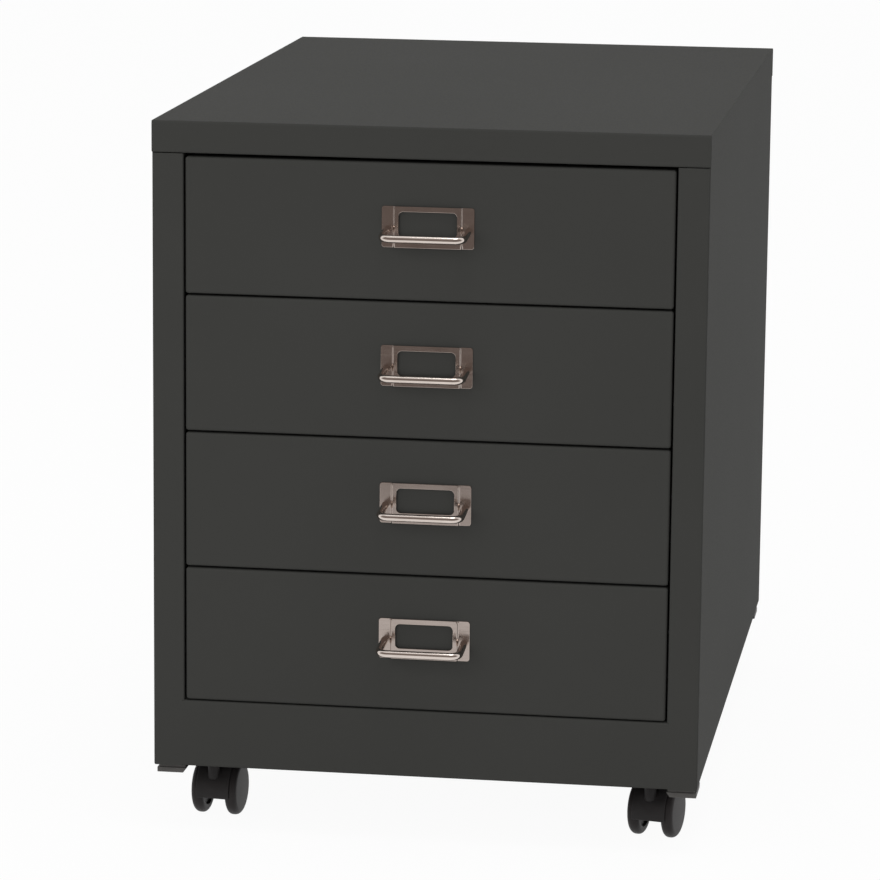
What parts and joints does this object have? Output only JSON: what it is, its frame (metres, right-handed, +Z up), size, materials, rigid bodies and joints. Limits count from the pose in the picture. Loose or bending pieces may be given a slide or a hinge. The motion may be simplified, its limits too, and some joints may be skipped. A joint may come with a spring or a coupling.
{
  "type": "mobile drawer cabinet",
  "caption": "Low steel pedestal cabinet with inset sliding drawers, label-holder pulls and swivel castors.",
  "frame": {"origin": "on the floor, in the middle of the plan box that holds the cabinet and its pull bars", "axes": "+X to the right as seen from the front, +Y towards the back, +Z up"},
  "size_m": [0.4, 0.6322, 0.525],
  "materials": {
    "painted_steel": "anthracite powder coat with a fine, slightly uneven skin",
    "front_paint": "anthracite powder coat, softly rounded edges",
    "tray_paint": "anthracite powder coat inside the drawers",
    "zinc_steel": "bright zinc plating",
    "satin_nickel": "warm satin nickel plate",
    "bar_nickel": "polished warm nickel wire",
    "castor_nylon": "black moulded nylon, lightly textured",
    "wheel_nylon": "black moulded nylon, smooth rim",
    "axle_steel": "bright drawn steel",
    "foot_plastic": "dark grey moulded plastic"
  },
  "bodies": {
    "cabinet": {"lid": "painted_steel", "left_side_panel": "painted_steel", "right_side_panel": "painted_steel", "rear_panel": "painted_steel", "base_panel": "painted_steel", "plinth": "painted_steel", "front_top_rail": "painted_steel", "rear_rivets": "painted_steel", "left_slide_uprights": "zinc_steel", "right_slide_uprights": "zinc_steel", "left_cabinet_runners": "zinc_steel", "right_cabinet_runners": "zinc_steel", "castor_stems": "zinc_steel", "castor_nuts": "zinc_steel", "corner_feet": "foot_plastic"},
    "drawer_1": {"drawer_1_front": "front_paint", "drawer_1_tray": "tray_paint", "drawer_1_runners": "zinc_steel", "drawer_1_label_plate": "satin_nickel", "drawer_1_pull_bar": "bar_nickel", "drawer_1_handle_screws": "zinc_steel"},
    "drawer_1_cages": {"drawer_1_ball_cages": "zinc_steel"},
    "drawer_2": {"drawer_2_front": "front_paint", "drawer_2_tray": "tray_paint", "drawer_2_runners": "zinc_steel", "drawer_2_label_plate": "satin_nickel", "drawer_2_pull_bar": "bar_nickel", "drawer_2_handle_screws": "zinc_steel"},
    "drawer_2_cages": {"drawer_2_ball_cages": "zinc_steel"},
    "drawer_3": {"drawer_3_front": "front_paint", "drawer_3_tray": "tray_paint", "drawer_3_runners": "zinc_steel", "drawer_3_label_plate": "satin_nickel", "drawer_3_pull_bar": "bar_nickel", "drawer_3_handle_screws": "zinc_steel"},
    "drawer_3_cages": {"drawer_3_ball_cages": "zinc_steel"},
    "drawer_4": {"drawer_4_front": "front_paint", "drawer_4_tray": "tray_paint", "drawer_4_runners": "zinc_steel", "drawer_4_label_plate": "satin_nickel", "drawer_4_pull_bar": "bar_nickel", "drawer_4_handle_screws": "zinc_steel"},
    "drawer_4_cages": {"drawer_4_ball_cages": "zinc_steel"},
    "castor_front_left": {"castor_front_left_hood": "castor_nylon", "castor_front_left_axle": "axle_steel"},
    "castor_front_left_left_wheel": {"castor_front_left_left_wheel": "wheel_nylon"},
    "castor_front_left_right_wheel": {"castor_front_left_right_wheel": "wheel_nylon"},
    "castor_front_right": {"castor_front_right_hood": "castor_nylon", "castor_front_right_axle": "axle_steel"},
    "castor_front_right_left_wheel": {"castor_front_right_left_wheel": "wheel_nylon"},
    "castor_front_right_right_wheel": {"castor_front_right_right_wheel": "wheel_nylon"},
    "castor_rear_left": {"castor_rear_left_hood": "castor_nylon", "castor_rear_left_axle": "axle_steel"},
    "castor_rear_left_left_wheel": {"castor_rear_left_left_wheel": "wheel_nylon"},
    "castor_rear_left_right_wheel": {"castor_rear_left_right_wheel": "wheel_nylon"},
    "castor_rear_right": {"castor_rear_right_hood": "castor_nylon", "castor_rear_right_axle": "axle_steel"},
    "castor_rear_right_left_wheel": {"castor_rear_right_left_wheel": "wheel_nylon"},
    "castor_rear_right_right_wheel": {"castor_rear_right_right_wheel": "wheel_nylon"}
  },
  "joints": [
    {"name": "drawer_1_slide", "type": "slide", "parent": "cabinet", "child": "drawer_1", "axis": [0, -1, 0], "range_m": [0, 0.42]},
    {"name": "drawer_1_cage_slide", "type": "slide", "parent": "cabinet", "child": "drawer_1_cages", "axis": [0, -1, 0], "range_m": [0, 0.21]},
    {"name": "drawer_2_slide", "type": "slide", "parent": "cabinet", "child": "drawer_2", "axis": [0, -1, 0], "range_m": [0, 0.42]},
    {"name": "drawer_2_cage_slide", "type": "slide", "parent": "cabinet", "child": "drawer_2_cages", "axis": [0, -1, 0], "range_m": [0, 0.21]},
    {"name": "drawer_3_slide", "type": "slide", "parent": "cabinet", "child": "drawer_3", "axis": [0, -1, 0], "range_m": [0, 0.42]},
    {"name": "drawer_3_cage_slide", "type": "slide", "parent": "cabinet", "child": "drawer_3_cages", "axis": [0, -1, 0], "range_m": [0, 0.21]},
    {"name": "drawer_4_slide", "type": "slide", "parent": "cabinet", "child": "drawer_4", "axis": [0, -1, 0], "range_m": [0, 0.42]},
    {"name": "drawer_4_cage_slide", "type": "slide", "parent": "cabinet", "child": "drawer_4_cages", "axis": [0, -1, 0], "range_m": [0, 0.21]},
    {"name": "castor_front_left_swivel", "type": "hinge", "parent": "cabinet", "child": "castor_front_left", "pos_m": [-0.1626, -0.2453, 0.035], "axis": [0, 0, 1], "continuous": true},
    {"name": "castor_front_left_left_wheel_spin", "type": "hinge", "parent": "castor_front_left", "child": "castor_front_left_left_wheel", "pos_m": [-0.16107, -0.22937, 0.02], "axis": [0.9954, -0.0958, 0], "continuous": true},
    {"name": "castor_front_left_right_wheel_spin", "type": "hinge", "parent": "castor_front_left", "child": "castor_front_left_right_wheel", "pos_m": [-0.16107, -0.22937, 0.02], "axis": [0.9954, -0.0958, 0], "continuous": true},
    {"name": "castor_front_right_swivel", "type": "hinge", "parent": "cabinet", "child": "castor_front_right", "pos_m": [0.1626, -0.2453, 0.035], "axis": [0, 0, 1], "continuous": true},
    {"name": "castor_front_right_left_wheel_spin", "type": "hinge", "parent": "castor_front_right", "child": "castor_front_right_left_wheel", "pos_m": [0.16579, -0.22962, 0.02], "axis": [0.9799, -0.1994, 0], "continuous": true},
    {"name": "castor_front_right_right_wheel_spin", "type": "hinge", "parent": "castor_front_right", "child": "castor_front_right_right_wheel", "pos_m": [0.16579, -0.22962, 0.02], "axis": [0.9799, -0.1994, 0], "continuous": true},
    {"name": "castor_rear_left_swivel", "type": "hinge", "parent": "cabinet", "child": "castor_rear_left", "pos_m": [-0.1626, 0.2775, 0.035], "axis": [0, 0, 1], "continuous": true},
    {"name": "castor_rear_left_left_wheel_spin", "type": "hinge", "parent": "castor_rear_left", "child": "castor_rear_left_left_wheel", "pos_m": [-0.1626, 0.2935, 0.02], "axis": [1, 0, 0], "continuous": true},
    {"name": "castor_rear_left_right_wheel_spin", "type": "hinge", "parent": "castor_rear_left", "child": "castor_rear_left_right_wheel", "pos_m": [-0.1626, 0.2935, 0.02], "axis": [1, 0, 0], "continuous": true},
    {"name": "castor_rear_right_swivel", "type": "hinge", "parent": "cabinet", "child": "castor_rear_right", "pos_m": [0.1626, 0.2775, 0.035], "axis": [0, 0, 1], "continuous": true},
    {"name": "castor_rear_right_left_wheel_spin", "type": "hinge", "parent": "castor_rear_right", "child": "castor_rear_right_left_wheel", "pos_m": [0.1626, 0.2935, 0.02], "axis": [1, 0, 0], "continuous": true},
    {"name": "castor_rear_right_right_wheel_spin", "type": "hinge", "parent": "castor_rear_right", "child": "castor_rear_right_right_wheel", "pos_m": [0.1626, 0.2935, 0.02], "axis": [1, 0, 0], "continuous": true}
  ],
  "couplings": [
    {"joint": "drawer_1_cage_slide", "follows": "drawer_1_slide", "ratio": 0.5},
    {"joint": "drawer_2_cage_slide", "follows": "drawer_2_slide", "ratio": 0.5},
    {"joint": "drawer_3_cage_slide", "follows": "drawer_3_slide", "ratio": 0.5},
    {"joint": "drawer_4_cage_slide", "follows": "drawer_4_slide", "ratio": 0.5}
  ]
}
